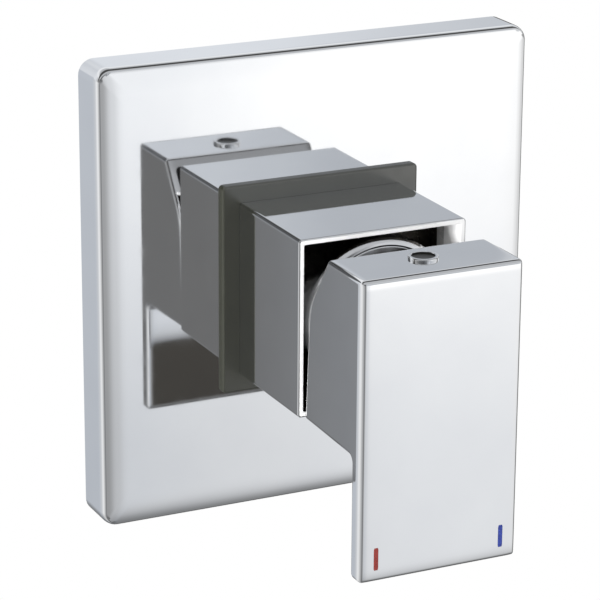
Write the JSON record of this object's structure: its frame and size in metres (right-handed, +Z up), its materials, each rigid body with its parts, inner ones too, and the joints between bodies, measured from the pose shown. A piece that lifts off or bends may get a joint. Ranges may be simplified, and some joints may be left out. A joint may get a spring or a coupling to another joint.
{
  "type": "concealed shower mixer",
  "caption": "Square concealed single-lever shower mixer: chromed wall plate, square sleeve, hollow-headed paddle lever, and a brass valve body with a joystick cartridge.",
  "frame": {"origin": "on the cartridge's axis where it crosses the finished wall, with the plate's back on that wall", "axes": "+Z up towards the shower outlet, +Y into the wall, +X to the user's right towards the cold inlet"},
  "size_m": [0.15, 0.1504, 0.1501],
  "materials": {
    "polished_chrome": "polished",
    "bare_brass": "as cast, machined at the ports",
    "gasket_rubber": "smooth, semi-gloss",
    "seal_rubber": "smooth",
    "foam": "fine closed cells",
    "fibre": "pressed fibre",
    "housing_plastic": "moulded",
    "rotor_plastic": "moulded",
    "limit_plastic": "moulded",
    "ceramic": "lapped",
    "nut_brass": "turned",
    "steel": "drawn",
    "screw_steel": "blackened",
    "cap_chrome": "polished",
    "red_enamel": "filled enamel",
    "blue_enamel": "filled enamel"
  },
  "bodies": {
    "valve": {"valve_body": "bare_brass", "outlet_plug": "bare_brass", "plug_o_ring": "seal_rubber", "wall_seal": "foam", "face_plate": "polished_chrome", "sleeve_gasket": "gasket_rubber", "square_sleeve": "polished_chrome", "sleeve_washer": "fibre", "dome_cover": "polished_chrome", "retaining_nut": "nut_brass", "cartridge_housing": "housing_plastic", "cartridge_base": "housing_plastic", "port_seals": "seal_rubber", "base_o_ring": "seal_rubber", "fixed_disc": "ceramic", "limit_ring": "limit_plastic"},
    "rotor": {"rotor": "rotor_plastic", "lever_pin": "steel"},
    "disc_slider": {"disc_carrier": "rotor_plastic", "moving_disc": "ceramic"},
    "lever": {"spindle": "steel", "lever_handle": "polished_chrome", "set_screw": "screw_steel", "screw_cap": "cap_chrome", "hot_mark": "red_enamel", "cold_mark": "blue_enamel"}
  },
  "joints": [
    {"name": "handle_turn", "type": "hinge", "parent": "valve", "child": "rotor", "pos_m": [0, 0, 0], "axis": [0, 1, 0], "range_deg": [-45, 45]},
    {"name": "handle_lift", "type": "hinge", "parent": "rotor", "child": "lever", "pos_m": [0, -0.0536, 0], "axis": [-1, 0, 0], "range_deg": [0, 20]},
    {"name": "disc_shift", "type": "slide", "parent": "rotor", "child": "disc_slider", "axis": [0, 0, -1], "range_m": [0, 0.0041]}
  ],
  "couplings": [
    {"joint": "disc_shift", "follows": "handle_lift", "m_per_rad": 0.011758}
  ]
}
